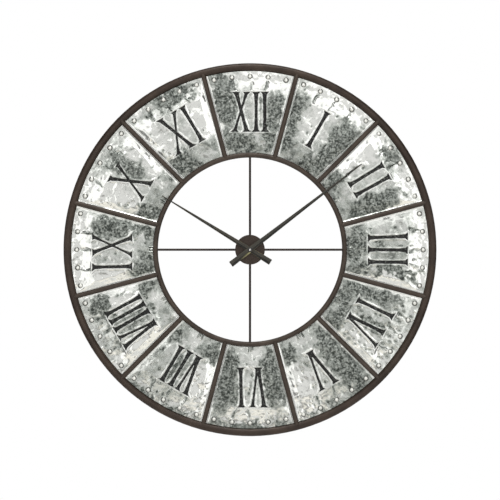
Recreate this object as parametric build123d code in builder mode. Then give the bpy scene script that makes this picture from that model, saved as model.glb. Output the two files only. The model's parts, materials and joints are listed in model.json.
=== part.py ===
"""Large open wall clock: twelve pressed sheet-metal panels in a welded tube frame, with a quartz movement.

Millimetres. +X is to the right of a person reading the clock, +Z is up, and the dial faces -Y, so the wall is
at the +Y side. The hands' arbor lies on the line x = 0, z = 0, and y = 0 is half way through the clock's depth.
Depths are counted forward from the wall: off_wall(0) is the wall and off_wall(overall_depth) the cap nut's tip.
Angles on the dial are in degrees, counter-clockwise from the +X side for a person reading the clock.
"""

import os
from math import asin, cos, degrees, radians, sin, sqrt

from build123d import *

os.makedirs("parts", exist_ok=True)

# ---------------------------------------------------------------- driving dimensions
outside_diameter = 914.4        # 36 inch
outer_tube = 19.0               # round tube of the outer ring
inner_tube = 12.3               # round tube of the inner ring
inner_ring_opening = 451.0      # clear diameter inside the inner ring
divider_bar = 11.5
spoke_rod = 5.5
tube_wall = 1.5
panel_count = 12

hub_diameter = 72.8
hub_sheet = 1.5
hub_bevel = 0.5                 # round its front edge
hub_bush_gap = 0.15             # radial clearance of the threaded neck in the hub and the washers

panel_sheet = 0.9
panel_rise = 5.0                # how far the raised field stands in front of the panel's margin
panel_fit = 0.05                # gap between a panel's edge and the bar or ring beside it
margin_inner_radius = 412.0     # the flat margin carries the rivets
field_outer_radius = 392.0
field_inner_radius = 282.0
field_side_slope = 16.0         # width of the sloping sides, inner and outer slopes follow the radii
inner_lip = 3.0                 # flat strip along the inner ring and along each side
numeral_outer_radius = 386.0
numeral_inner_radius = 289.0
numeral_depth = 0.5

rivets_per_panel = 5
rivet_pitch_angle = 6.0
rivet_circle_radius = 424.3
rivet_head_diameter = 13.6
rivet_head_height = 3.4
rivet_shank_diameter = 5.0
rivet_strip_sheet = 1.5

keyhole_radius = 5.0
keyhole_slot_radius = 2.6
keyhole_height = 422.0          # height of the keyhole's round part above the arbor
hanger_sheet = 2.0
hanger_corner = 5.0
hanger_below_keyhole = 12.0

case_size = 56.0
case_corner = 8.0
case_depth = 16.0
case_wall = 1.2
case_off_wall = 0.6

battery_diameter = 14.5
battery_length = 50.5
battery_drop = 16.6             # battery axis below the arbor

bush_radius = 3.95              # M8 threaded neck of the movement
running_gap = 0.05              # radial clearance of a shaft in its hole
hour_tube_radius = 2.5
minute_arbor_radius = 1.7
pivot_radius = 0.6

minute_hand_reach = 344.0
hour_hand_reach = 252.0
hand_tail = 59.0
minute_hand_widths = (15.0, 2.6)   # at the tail and at the tip
hour_hand_widths = (14.6, 2.2)
hand_sheet = 0.8
hand_ridge = 1.3                # height of the fold along the middle of a hand
tip_fold = 0.35                 # at the tip the fold is this share of that height
hand_boss_radius = 6.0
minute_hand_angle = 90 - 52.5
hour_hand_angle = 90 - 301.5

overall_depth = 32.4

# ---------------------------------------------------------------- worked-out places
outer_tube_centre = outside_diameter / 2 - outer_tube / 2
inner_tube_centre = inner_ring_opening / 2 + inner_tube / 2
frame_front = outer_tube        # every tube and bar is flush with this plane, counted from the wall
inner_ring_depth = frame_front - inner_tube / 2
divider_depth = frame_front - divider_bar / 2

sector_angle = 360 / panel_count
panel_back = inner_ring_depth - panel_sheet / 2
panel_front = panel_back + panel_sheet
field_front = panel_front + panel_rise
panel_inner_radius = inner_tube_centre + inner_tube / 2 + panel_fit
strip_back = panel_back - rivet_strip_sheet

case_front = case_off_wall + case_depth
case_inside = case_front - case_wall
rear_inside = case_off_wall + case_wall
rubber_sheet = 0.8
hub_back = case_front + rubber_sheet
hub_front = hub_back + hub_sheet
brass_washer_sheet = 0.5
nut_back = hub_front + brass_washer_sheet
nut_height = 2.4
bush_front = nut_back + nut_height + 0.4
spoke_depth = hub_back - spoke_rod / 2

hour_hand_back = bush_front + 0.7
hour_hand_front = hour_hand_back + hand_sheet + hand_ridge
minute_hand_back = hour_hand_front + 0.9
minute_hand_front = minute_hand_back + hand_sheet + hand_ridge
cap_nut_height = 3.4
cap_nut_back = overall_depth - cap_nut_height


def off_wall(distance):
    """The y of a plane that many millimetres in front of the wall."""
    return overall_depth / 2 - distance


def dial_plane(distance, x=0.0, z=0.0):
    """A sketch plane facing the reader: its x is to the right, its y is up, and it extrudes forward."""
    return Plane(origin=(x, off_wall(distance), z), x_dir=(1, 0, 0), z_dir=(0, -1, 0))


def axle_plane(x=0.0, z=0.0):
    """A plane through an axle: its x is the radius, and its y is the distance in front of the wall."""
    return Plane(origin=(x, off_wall(0), z), x_dir=(1, 0, 0), z_dir=(0, 0, 1))


def polar(radius, angle):
    """A point of the dial at a radius and an angle."""
    return (radius * cos(radians(angle)), radius * sin(radians(angle)))


def outer_tube_face(distance):
    """The radius of the outer ring's inner face, that many millimetres in front of the wall."""
    return outer_tube_centre - sqrt((outer_tube / 2) ** 2 - (distance - outer_tube / 2) ** 2)


def save(part, label):
    part.label = label
    export_step(part, f"parts/{label}.step")


def turned(profile, x=0.0, z=0.0):
    """A turned piece about an axle: the profile is (radius, distance from the wall) points, and it may touch 0."""
    with BuildPart() as piece:
        with BuildSketch(axle_plane(x, z)):
            with BuildLine():
                Polyline(*[(radius, -depth) for radius, depth in profile], close=True)
            make_face()
        revolve(axis=Axis((x, 0, z), (0, 1, 0)))
    return piece.part


# ---------------------------------------------------------------- frame
def ring_tube(centre_radius, tube_diameter, depth, wall=0.0):
    """A ring rolled from round tube. With no wall it is a solid ring, for trimming what is welded to it."""
    with BuildPart() as ring:
        with BuildSketch(axle_plane()):
            with Locations((centre_radius, -depth)):
                Circle(tube_diameter / 2)
                if wall:
                    Circle(tube_diameter / 2 - wall, mode=Mode.SUBTRACT)
        revolve(axis=Axis.Y)
    return ring.part


outer_ring_solid = ring_tube(outer_tube_centre, outer_tube, outer_tube / 2)
inner_ring_solid = ring_tube(inner_tube_centre, inner_tube, inner_ring_depth)
save(ring_tube(outer_tube_centre, outer_tube, outer_tube / 2, tube_wall), "outer_ring")
save(ring_tube(inner_tube_centre, inner_tube, inner_ring_depth, tube_wall), "inner_ring")


def radial_rod(angle, start_radius, end_radius, diameter, depth, trims):
    """A round rod that points away from the arbor, its ends cut to sit against the rings in trims."""
    x_dir = (-sin(radians(angle)), 0, cos(radians(angle)))
    z_dir = (cos(radians(angle)), 0, sin(radians(angle)))
    start = Plane(origin=(0, off_wall(depth), 0), x_dir=x_dir, z_dir=z_dir).offset(start_radius)
    with BuildPart() as rod:
        with BuildSketch(start):
            Circle(diameter / 2)
        extrude(amount=end_radius - start_radius)
        for trim in trims:
            add(trim, mode=Mode.SUBTRACT)
    return rod.part


for index in range(panel_count):
    divider_angle = 90 - sector_angle / 2 - index * sector_angle
    divider = radial_rod(
        divider_angle,
        inner_tube_centre,
        outer_tube_centre,
        divider_bar,
        divider_depth,
        [outer_ring_solid, inner_ring_solid],
    )
    save(divider, f"divider_{index + 1:02d}")

spoke_case_gap = 1.0
spoke_start = case_size / 2 + spoke_case_gap
for name, angle in (("top", 90), ("right", 0), ("bottom", 270), ("left", 180)):
    spoke = radial_rod(angle, spoke_start, inner_tube_centre, spoke_rod, spoke_depth, [inner_ring_solid])
    save(spoke, f"spoke_{name}")

with BuildPart() as hub_disc:
    with BuildSketch(dial_plane(hub_back)):
        Circle(hub_diameter / 2)
        Circle(bush_radius + hub_bush_gap, mode=Mode.SUBTRACT)
    extrude(amount=hub_sheet)
    chamfer(hub_disc.faces().sort_by(Axis.Y)[0].edges().sort_by(SortBy.LENGTH)[-1], hub_bevel)
save(hub_disc.part, "hub_disc")


# ---------------------------------------------------------------- panels
def sector(distance, inner, outer, side_gap, centre_angle):
    """A sketch of one panel's outline: arcs about the arbor, and sides parallel to the dividers."""

    def corner(radius, side):
        half = sector_angle / 2 - degrees(asin(side_gap / radius))
        return polar(radius, centre_angle + side * half)

    with BuildSketch(dial_plane(distance)) as outline:
        with BuildLine():
            ThreePointArc(corner(inner, -1), polar(inner, centre_angle), corner(inner, 1))
            Line(corner(inner, 1), corner(outer, 1))
            ThreePointArc(corner(outer, 1), polar(outer, centre_angle), corner(outer, -1))
            Line(corner(outer, -1), corner(inner, -1))
        make_face()
    return outline.sketch


thick_stroke = 8.0
thin_stroke = 4.0
serif_overhang = 3.5
serif_height = 3.0

# Each numeral is cut by hand, so its strokes are (width, place at the top, place at the foot), from the
# panel's middle line. The top of a numeral is at the rim side.
numeral_strokes = {
    1: [(thick_stroke, -4, -3)],
    2: [(thick_stroke, -17, -15), (thick_stroke, 16, 14)],
    3: [(thick_stroke, -33, -29), (thick_stroke, 1, 0), (thick_stroke, 31, 30)],
    4: [(thick_stroke, -33, -25), (thick_stroke, 12, 19), (thin_stroke, 49, 21)],
    5: [(thick_stroke, -20, -2), (thin_stroke, 19, 1)],
    6: [(thick_stroke, -35, -20), (thin_stroke, -6, -18), (thick_stroke, 21, 23)],
    7: [(thick_stroke, -40, -23), (thin_stroke, -16, -21), (thick_stroke, 3, 2), (thick_stroke, 27, 26)],
    8: [
        (thick_stroke, -53, -38),
        (thin_stroke, -27, -36),
        (thick_stroke, -5, -5),
        (thick_stroke, 16, 15),
        (thick_stroke, 38, 35),
    ],
    9: [(thick_stroke, -43, -41), (thick_stroke, -8, 30), (thin_stroke, 33, -13)],
    10: [(thick_stroke, -22, 20), (thin_stroke, 19, -24)],
    11: [(thick_stroke, -33, 5), (thin_stroke, 8, -35), (thick_stroke, 30, 32)],
    12: [(thick_stroke, -34, -8), (thin_stroke, -8, -38), (thick_stroke, 15, 15), (thick_stroke, 36, 36)],
}


def numeral_sketch(hour, centre_angle, distance):
    """A sketch of one numeral's strokes and serifs, with its top towards the rim."""
    turn = centre_angle - 90
    across = (cos(radians(turn)), 0, sin(radians(turn)))
    plane = Plane(origin=(0, off_wall(distance), 0), x_dir=across, z_dir=(0, -1, 0))
    top, foot = numeral_outer_radius, numeral_inner_radius
    with BuildSketch(plane) as numeral:
        for width, top_x, foot_x in numeral_strokes[hour]:
            half = width / 2
            flare = half + serif_overhang
            with BuildLine():
                Polyline(
                    (foot_x - half, foot), (foot_x + half, foot), (top_x + half, top), (top_x - half, top), close=True
                )
            make_face()
            for place, end, inward in ((top_x, top, -serif_height), (foot_x, foot, serif_height)):
                with BuildLine():
                    Polyline(
                        (place - flare, end),
                        (place + flare, end),
                        (place + half, end + inward),
                        (place - half, end + inward),
                        close=True,
                    )
                make_face()
    return numeral.sketch


def rivet_angles(centre_angle):
    middle = (rivets_per_panel - 1) / 2
    return [centre_angle + (number - middle) * rivet_pitch_angle for number in range(rivets_per_panel)]


side_gap = divider_bar / 2 + panel_fit
panel_outer_radius = outer_tube_face(panel_back) - panel_fit
for index in range(panel_count):
    hour = index or 12
    panel_angle = 90 - index * sector_angle
    with BuildPart() as panel:
        extrude(
            sector(panel_back, panel_inner_radius, panel_outer_radius, side_gap, panel_angle), amount=panel_sheet
        )
        slope_inner = panel_inner_radius + inner_lip
        slope_gap = side_gap + inner_lip
        field_gap = side_gap + field_side_slope
        loft(
            [
                sector(panel_front, slope_inner, margin_inner_radius, slope_gap, panel_angle),
                sector(field_front, field_inner_radius, field_outer_radius, field_gap, panel_angle),
            ],
            ruled=True,
        )
        loft(
            [
                sector(panel_back, slope_inner, margin_inner_radius, slope_gap, panel_angle),
                sector(field_front - panel_sheet, field_inner_radius, field_outer_radius, field_gap, panel_angle),
            ],
            ruled=True,
            mode=Mode.SUBTRACT,
        )
        numeral = numeral_sketch(hour, panel_angle, field_front - numeral_depth)
        extrude(numeral, amount=2 * numeral_depth, mode=Mode.SUBTRACT)
        with BuildSketch(dial_plane(panel_back)):
            with Locations(*[polar(rivet_circle_radius, angle) for angle in rivet_angles(panel_angle)]):
                Circle(rivet_shank_diameter / 2)
        extrude(amount=panel_sheet, mode=Mode.SUBTRACT)
    save(panel.part, f"dial_panel_{hour:02d}")

# The rivets clinch each panel to a curved strip behind its margin, one strip to a panel.
strip_inner_radius = margin_inner_radius + 1.0
strip_outer_radius = outer_tube_face(strip_back) - panel_fit
with BuildPart() as rivet_strips:
    for index in range(panel_count):
        strip_angle = 90 - index * sector_angle
        extrude(
            sector(strip_back, strip_inner_radius, strip_outer_radius, side_gap, strip_angle),
            amount=rivet_strip_sheet,
        )
    with BuildSketch(dial_plane(strip_back)):
        for index in range(panel_count):
            with Locations(*[polar(rivet_circle_radius, angle) for angle in rivet_angles(90 - index * sector_angle)]):
                Circle(rivet_shank_diameter / 2)
    extrude(amount=rivet_strip_sheet, mode=Mode.SUBTRACT)
save(rivet_strips.part, "rivet_strips")

rivet_tail_radius = rivet_shank_diameter / 2 + 1.4
rivet_tail_height = 1.6
rivet_tail_taper = 0.7          # its end is this share of its width
rivet_head_radius = rivet_head_diameter / 2
# The head is a spherical cap on a short straight rim.
head_rim = 0.5
cap_height = rivet_head_height - head_rim
cap_radius = (rivet_head_radius**2 + cap_height**2) / (2 * cap_height)
half_sweep = asin(rivet_head_radius / cap_radius) / 2
cap_centre = panel_front + rivet_head_height - cap_radius
head_edge = (rivet_head_radius, -(panel_front + head_rim))
head_side = (cap_radius * sin(half_sweep), -(cap_centre + cap_radius * cos(half_sweep)))
head_top = (0, -(panel_front + rivet_head_height))
with BuildPart() as rivet:
    with BuildSketch(axle_plane(0, rivet_circle_radius)):
        with BuildLine():
            ThreePointArc(head_edge, head_side, head_top)
            Polyline(
                head_top,
                (0, -(strip_back - rivet_tail_height)),
                (rivet_tail_radius * rivet_tail_taper, -(strip_back - rivet_tail_height)),
                (rivet_tail_radius, -strip_back),
                (rivet_shank_diameter / 2, -strip_back),
                (rivet_shank_diameter / 2, -panel_front),
                (rivet_head_radius, -panel_front),
                head_edge,
            )
        make_face()
    revolve(axis=Axis((0, 0, rivet_circle_radius), (0, 1, 0)))
rivet_count = panel_count * rivets_per_panel
all_rivets = [rivet.part.rotate(Axis.Y, number * rivet_pitch_angle) for number in range(rivet_count)]
save(Compound(children=all_rivets), "rivets")

# A keyhole plate is welded across the back of the outer ring at twelve o'clock.
hanger_back = 2.0
hanger_width = 46.0
hanger_bottom = keyhole_height - hanger_below_keyhole
with BuildPart() as hanger_plate:
    with BuildSketch(dial_plane(hanger_back)):
        with BuildLine():
            Polyline(
                (-hanger_width / 2, hanger_bottom),
                (hanger_width / 2, hanger_bottom),
                (hanger_width / 2, outer_tube_centre),
                (-hanger_width / 2, outer_tube_centre),
                close=True,
            )
        make_face()
        with Locations((0, keyhole_height)):
            Circle(keyhole_radius, mode=Mode.SUBTRACT)
        with Locations((0, keyhole_height + keyhole_radius)):
            SlotCenterToCenter(2 * keyhole_radius, 2 * keyhole_slot_radius, rotation=90, mode=Mode.SUBTRACT)
    extrude(amount=hanger_sheet)
    fillet(hanger_plate.edges().filter_by(Axis.Y).group_by(Axis.Z)[0], hanger_corner)
    add(outer_ring_solid, mode=Mode.SUBTRACT)
save(hanger_plate.part, "hanger_plate")


# ---------------------------------------------------------------- hands and their fastenings
def hand(reach, widths, angle, back, bore_radius):
    """A pressed sheet hand: tapered, folded along its middle, with a flat round boss over the arbor."""

    def section(plane, width, scale):
        half = width / 2
        fold = hand_ridge * scale
        with BuildSketch(plane) as outline:
            with BuildLine():
                Polyline(
                    (-half, 0), (0, fold), (half, 0), (half, hand_sheet), (0, fold + hand_sheet), (-half, hand_sheet),
                    close=True,
                )
            make_face()
        return outline.sketch

    along = (cos(radians(angle)), 0, sin(radians(angle)))
    across = (-sin(radians(angle)), 0, cos(radians(angle)))
    base = Plane(origin=(0, off_wall(back), 0), x_dir=across, z_dir=along)
    with BuildPart() as piece:
        loft(
            [
                section(base.offset(-hand_tail), widths[0], 1.0),
                section(base.offset(reach), widths[1], tip_fold),
            ],
            ruled=True,
        )
        with BuildSketch(dial_plane(back)):
            Circle(hand_boss_radius)
        extrude(amount=hand_sheet + hand_ridge)
        with BuildSketch(dial_plane(back)):
            Circle(bore_radius)
        extrude(amount=hand_sheet + hand_ridge, mode=Mode.SUBTRACT)
    return piece.part


save(hand(hour_hand_reach, hour_hand_widths, hour_hand_angle, hour_hand_back, hour_tube_radius), "hour_hand")
save(
    hand(minute_hand_reach, minute_hand_widths, minute_hand_angle, minute_hand_back, minute_arbor_radius),
    "minute_hand",
)

rubber_washer_radius = 15.0
with BuildPart() as rubber_washer:
    with BuildSketch(dial_plane(case_front)):
        Circle(rubber_washer_radius)
        Circle(bush_radius + hub_bush_gap, mode=Mode.SUBTRACT)
    extrude(amount=rubber_sheet)
save(rubber_washer.part, "rubber_washer")

brass_washer_radius = 7.5
with BuildPart() as brass_washer:
    with BuildSketch(dial_plane(hub_front)):
        Circle(brass_washer_radius)
        Circle(bush_radius + hub_bush_gap, mode=Mode.SUBTRACT)
    extrude(amount=brass_washer_sheet)
save(brass_washer.part, "brass_washer")

nut_across_flats = 11.0
nut_bevel = 0.3
with BuildPart() as hex_nut:
    with BuildSketch(dial_plane(nut_back)):
        RegularPolygon(nut_across_flats / 2, 6, major_radius=False)
        Circle(bush_radius, mode=Mode.SUBTRACT)
    extrude(amount=nut_height)
    chamfer(hex_nut.edges().filter_by(GeomType.CIRCLE).sort_by(Axis.Y)[0], nut_bevel)
save(hex_nut.part, "hex_nut")

# A dished collar seats the cap nut on the minute hand's boss.
collar_radius = 5.6
collar_rim = 0.35
collar_shoulder = 1.6           # width of the flat ring that the cap nut sits on
collar_bore = minute_arbor_radius + running_gap
collar_outline = [
    (collar_bore, minute_hand_front),
    (collar_radius, minute_hand_front),
    (collar_radius, minute_hand_front + collar_rim),
    (collar_bore + collar_shoulder, cap_nut_back),
    (collar_bore, cap_nut_back),
]
save(turned(collar_outline), "hand_collar")

cap_nut_radius = 2.9
cap_nut_bevel = 1.0
arbor_stub = cap_nut_back + 2.2
cap_nut_thread_radius = minute_arbor_radius - 0.3
cap_nut_outline = [
    (cap_nut_thread_radius, cap_nut_back),
    (cap_nut_radius, cap_nut_back),
    (cap_nut_radius, overall_depth - cap_nut_bevel),
    (cap_nut_radius - cap_nut_bevel, overall_depth),
    (0, overall_depth),
    (0, arbor_stub),
    (cap_nut_thread_radius, arbor_stub),
]
save(turned(cap_nut_outline), "cap_nut")


# ---------------------------------------------------------------- wheels and pinions
tooth_height = 0.7              # above the pitch circle, in modules
tooth_depth = 1.1               # below it
tip_half_width = 0.08           # of a tooth's tip, as a share of the pitch angle
root_half_width = 0.22


def mesh_phase(driver_phase, driver_teeth, driven_teeth, direction):
    """The phase that puts a driven wheel in mesh with its driver, which lies opposite the direction given."""
    share = ((direction - driver_phase) * driver_teeth / 360) % 1
    return direction + 180 - (0.5 - share) * 360 / driven_teeth


def toothed_disc(centre, teeth, module, phase, back, thickness, bore_radius=0.0):
    """A wheel or pinion with flat-sided teeth, one of them centred on the phase angle."""
    pitch_angle = 360 / teeth
    tip_radius = module * (teeth / 2 + tooth_height)
    root_radius = module * (teeth / 2 - tooth_depth)
    outline = []
    for tooth in range(teeth):
        middle = phase + tooth * pitch_angle
        outline.append(polar(root_radius, middle - root_half_width * pitch_angle))
        outline.append(polar(tip_radius, middle - tip_half_width * pitch_angle))
        outline.append(polar(tip_radius, middle + tip_half_width * pitch_angle))
        outline.append(polar(root_radius, middle + root_half_width * pitch_angle))
    with BuildPart() as disc:
        with BuildSketch(dial_plane(back, *centre)):
            with BuildLine():
                Polyline(*outline, close=True)
            make_face()
            if bore_radius:
                Circle(bore_radius, mode=Mode.SUBTRACT)
        extrude(amount=thickness)
    return disc.part


def bushed_rod(centre, radius, back, front):
    """A plain round length of arbor."""
    with BuildPart() as rod:
        with BuildSketch(dial_plane(back, *centre)):
            Circle(radius)
        extrude(amount=front - back)
    return rod.part


def joined(*pieces):
    """One moulded piece from several that overlap."""
    with BuildPart() as whole:
        for piece in pieces:
            add(piece)
    return whole.part


def step_from(centre, distance, direction):
    return (centre[0] + polar(distance, direction)[0], centre[1] + polar(distance, direction)[1])


wheel_thickness = 1.2
pinion_extra = 0.2              # a pinion is a little thicker than the wheel that it drives
layer_pitch = 2.0
pivot_back = case_off_wall + 0.6
pivot_front = case_front - 0.6
# Layers counted from the front of the case: hour wheel, reverse wheel, centre, third, seconds and fifth wheels.
layer = [case_inside - 1.8 - number * layer_pitch for number in range(6)]

arbor = (0.0, 0.0)
reverse_teeth, cannon_teeth, reverse_module = 36, 12, 0.4
hour_teeth, reverse_pinion_teeth = 40, 10
motion_distance = reverse_module * (reverse_teeth + cannon_teeth) / 2
hour_module = 2 * motion_distance / (hour_teeth + reverse_pinion_teeth)
reverse_centre = step_from(arbor, motion_distance, 90)
reverse_phase = mesh_phase(0, cannon_teeth, reverse_teeth, 90)
reverse_pinion_phase = 0.0
hour_phase = mesh_phase(reverse_pinion_phase, reverse_pinion_teeth, hour_teeth, 270)
setting_teeth = 12
setting_centre = step_from(reverse_centre, motion_distance, 0)
setting_phase = mesh_phase(reverse_phase, reverse_teeth, setting_teeth, 0)

centre_teeth, third_pinion_teeth, centre_module = 64, 8, 0.25
third_direction = 170
third_centre = step_from(arbor, centre_module * (centre_teeth + third_pinion_teeth) / 2, third_direction)
third_pinion_phase = mesh_phase(0, centre_teeth, third_pinion_teeth, third_direction)
third_teeth, seconds_pinion_teeth, third_module = 60, 8, 0.25
seconds_direction = 120
seconds_centre = step_from(third_centre, third_module * (third_teeth + seconds_pinion_teeth) / 2, seconds_direction)
seconds_pinion_phase = mesh_phase(0, third_teeth, seconds_pinion_teeth, seconds_direction)
seconds_teeth, fifth_pinion_teeth, seconds_module = 50, 10, 0.25
fifth_direction = 45
fifth_centre = step_from(seconds_centre, seconds_module * (seconds_teeth + fifth_pinion_teeth) / 2, fifth_direction)
fifth_pinion_phase = mesh_phase(0, seconds_teeth, fifth_pinion_teeth, fifth_direction)
fifth_teeth, rotor_pinion_teeth, fifth_module = 60, 10, 0.2
rotor_centre = step_from(fifth_centre, fifth_module * (fifth_teeth + rotor_pinion_teeth) / 2, fifth_direction)
rotor_pinion_phase = mesh_phase(0, fifth_teeth, rotor_pinion_teeth, fifth_direction)


def pinion(centre, teeth, module, phase, driven_layer):
    return toothed_disc(centre, teeth, module, phase, driven_layer - pinion_extra, wheel_thickness + 2 * pinion_extra)


def wheel(centre, teeth, module, phase, own_layer, bore_radius=0.0):
    return toothed_disc(centre, teeth, module, phase, own_layer, wheel_thickness, bore_radius)


def pivoted(centre, *discs):
    """Wheels and pinions on an arbor whose ends are pivots in the two halves of the case."""
    return joined(bushed_rod(centre, pivot_radius, pivot_back, pivot_front), *discs)


# Motion work: the cannon pinion is cut on the minute arbor, and the reverse wheel brings the hour wheel down
# to one turn in twelve.
tube_bore = minute_arbor_radius + running_gap
hour_wheel_disc = wheel(arbor, hour_teeth, hour_module, hour_phase, layer[0], tube_bore)
hour_tube_outline = [
    (tube_bore, layer[0]),
    (hour_tube_radius, layer[0]),
    (hour_tube_radius, hour_hand_front),
    (tube_bore, hour_hand_front),
]
save(joined(hour_wheel_disc, turned(hour_tube_outline)), "hour_wheel")

clutch_seat = layer[2] - 0.4
minute_arbor_outline = [
    (0, pivot_back),
    (pivot_radius, pivot_back),
    (pivot_radius, clutch_seat),
    (minute_arbor_radius, clutch_seat),
    (minute_arbor_radius, cap_nut_back),
    (cap_nut_thread_radius, cap_nut_back),
    (cap_nut_thread_radius, arbor_stub),
    (0, arbor_stub),
]
cannon_pinion = pinion(arbor, cannon_teeth, reverse_module, 0, layer[1])
save(joined(turned(minute_arbor_outline), cannon_pinion), "minute_arbor")

reverse_wheel = pivoted(
    reverse_centre,
    wheel(reverse_centre, reverse_teeth, reverse_module, reverse_phase, layer[1]),
    pinion(reverse_centre, reverse_pinion_teeth, hour_module, reverse_pinion_phase, layer[0]),
)
save(reverse_wheel, "reverse_wheel")

knob_radius = 6.0
knob_back = 0.4
knob_front = case_off_wall + case_wall + 1.4
setting_shaft_radius = 0.9
grip_flutes = 24
grip_flute_radius = 0.35
with BuildPart() as knob_disc:
    with BuildSketch(dial_plane(knob_back, *setting_centre)):
        Circle(knob_radius)
        with PolarLocations(knob_radius, grip_flutes):
            Circle(grip_flute_radius, mode=Mode.SUBTRACT)
    extrude(amount=knob_front - knob_back)
setting_knob = joined(
    knob_disc.part,
    bushed_rod(setting_centre, setting_shaft_radius, knob_front, layer[1] + wheel_thickness),
    bushed_rod(setting_centre, pivot_radius, layer[1], pivot_front),
    pinion(setting_centre, setting_teeth, reverse_module, setting_phase, layer[1]),
)
save(setting_knob, "setting_knob")

# Going train, behind the clutch: rotor, fifth, seconds, third and centre wheels.
centre_wheel = wheel(arbor, centre_teeth, centre_module, 0, layer[2], minute_arbor_radius + running_gap)
save(centre_wheel, "centre_wheel")
third_wheel = pivoted(
    third_centre,
    wheel(third_centre, third_teeth, third_module, 0, layer[3]),
    pinion(third_centre, third_pinion_teeth, centre_module, third_pinion_phase, layer[2]),
)
save(third_wheel, "third_wheel")
seconds_wheel = pivoted(
    seconds_centre,
    wheel(seconds_centre, seconds_teeth, seconds_module, 0, layer[4]),
    pinion(seconds_centre, seconds_pinion_teeth, third_module, seconds_pinion_phase, layer[3]),
)
save(seconds_wheel, "seconds_wheel")
fifth_wheel = pivoted(
    fifth_centre,
    wheel(fifth_centre, fifth_teeth, fifth_module, 0, layer[5]),
    pinion(fifth_centre, fifth_pinion_teeth, seconds_module, fifth_pinion_phase, layer[4]),
)
save(fifth_wheel, "fifth_wheel")

magnet_radius = 3.0
magnet_back = layer[4] - 0.2
magnet_front = magnet_back + 3.0
rotor = pivoted(
    rotor_centre,
    pinion(rotor_centre, rotor_pinion_teeth, fifth_module, rotor_pinion_phase, layer[5]),
    bushed_rod(rotor_centre, magnet_radius, magnet_back, magnet_front),
)
save(rotor, "rotor")

# ---------------------------------------------------------------- stepping motor and electronics
stator_back = magnet_back + 1.0
stator_sheet = 1.0
stator_left, stator_right = -11.0, 23.0
stator_bottom, stator_top = 15.9, 24.5
core_width = 2.6
coil_left, coil_right = 4.0, 20.0
coil_axis = stator_top - 4.6
window_left, window_right = coil_left - 1.5, coil_right + 1.0
with BuildPart() as stator:
    with BuildSketch(dial_plane(stator_back)):
        with Locations(((stator_left + stator_right) / 2, (stator_bottom + stator_top) / 2)):
            Rectangle(stator_right - stator_left, stator_top - stator_bottom)
        with Locations(((window_left + window_right) / 2, (stator_bottom + stator_top) / 2)):
            Rectangle(window_right - window_left, stator_top - stator_bottom, mode=Mode.SUBTRACT)
        with Locations(((window_left + window_right) / 2, coil_axis)):
            Rectangle(window_right - window_left, core_width)
        with Locations(rotor_centre):
            Circle(magnet_radius + 0.4, mode=Mode.SUBTRACT)
    extrude(amount=stator_sheet)
save(stator.part, "stator")

flange_radius, barrel_radius = 4.3, 2.2
flange_width = 0.8
coil_depth = stator_back + stator_sheet / 2
coil_plane = Plane(origin=(coil_left, off_wall(coil_depth), coil_axis), x_dir=(0, 1, 0), z_dir=(1, 0, 0))
with BuildPart() as coil_bobbin:
    with BuildSketch(coil_plane):
        Circle(barrel_radius)
    extrude(amount=coil_right - coil_left)
    for place in (0, coil_right - coil_left - flange_width):
        with BuildSketch(coil_plane.offset(place)):
            Circle(flange_radius)
        extrude(amount=flange_width)
    with BuildSketch(coil_plane):
        Rectangle(stator_sheet, core_width)
    extrude(amount=coil_right - coil_left, mode=Mode.SUBTRACT)
save(coil_bobbin.part, "coil_bobbin")

with BuildPart() as coil_winding:
    with BuildSketch(coil_plane.offset(flange_width)):
        Circle(flange_radius - 0.5)
        Circle(barrel_radius, mode=Mode.SUBTRACT)
    extrude(amount=coil_right - coil_left - 2 * flange_width)
save(coil_winding.part, "coil_winding")

board_left, board_right = 5.0, 25.5
board_bottom, board_top = -8.2, 2.2
board_back, board_sheet = 3.4, 1.0
board_middle = ((board_left + board_right) / 2, (board_bottom + board_top) / 2)
blob_place, blob_radius, blob_height = 6.0, 2.6, 0.9
with BuildPart() as circuit_board:
    with BuildSketch(dial_plane(board_back)):
        with Locations(board_middle):
            Rectangle(board_right - board_left, board_top - board_bottom)
    extrude(amount=board_sheet)
    # The chip is under a round blob of potting resin.
    with BuildSketch(dial_plane(board_back + board_sheet)):
        with Locations((board_left + blob_place, board_middle[1])):
            Circle(blob_radius)
    extrude(amount=blob_height, taper=30)
save(circuit_board.part, "circuit_board")

crystal_radius, crystal_length = 1.0, 6.0
crystal_depth = board_back + board_sheet + crystal_radius
crystal_plane = Plane(
    origin=(board_right - 9.0, off_wall(crystal_depth), board_middle[1]), x_dir=(0, 1, 0), z_dir=(1, 0, 0)
)
with BuildPart() as crystal:
    with BuildSketch(crystal_plane):
        Circle(crystal_radius)
    extrude(amount=crystal_length)
    fillet(crystal.edges().sort_by(Axis.X)[-1], 0.3)
save(crystal.part, "crystal")

# ---------------------------------------------------------------- case, battery and contacts
battery_depth = case_off_wall + battery_diameter / 2 + 0.05
battery_z = -battery_drop
bay_top = battery_z + battery_diameter / 2 + 0.2
bay_wall = 0.7
bay_half_length = case_size / 2 - case_wall - 0.4
contact_sheet = 0.4
pivot_places = [arbor, reverse_centre, third_centre, seconds_centre, fifth_centre, rotor_centre]

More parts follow.
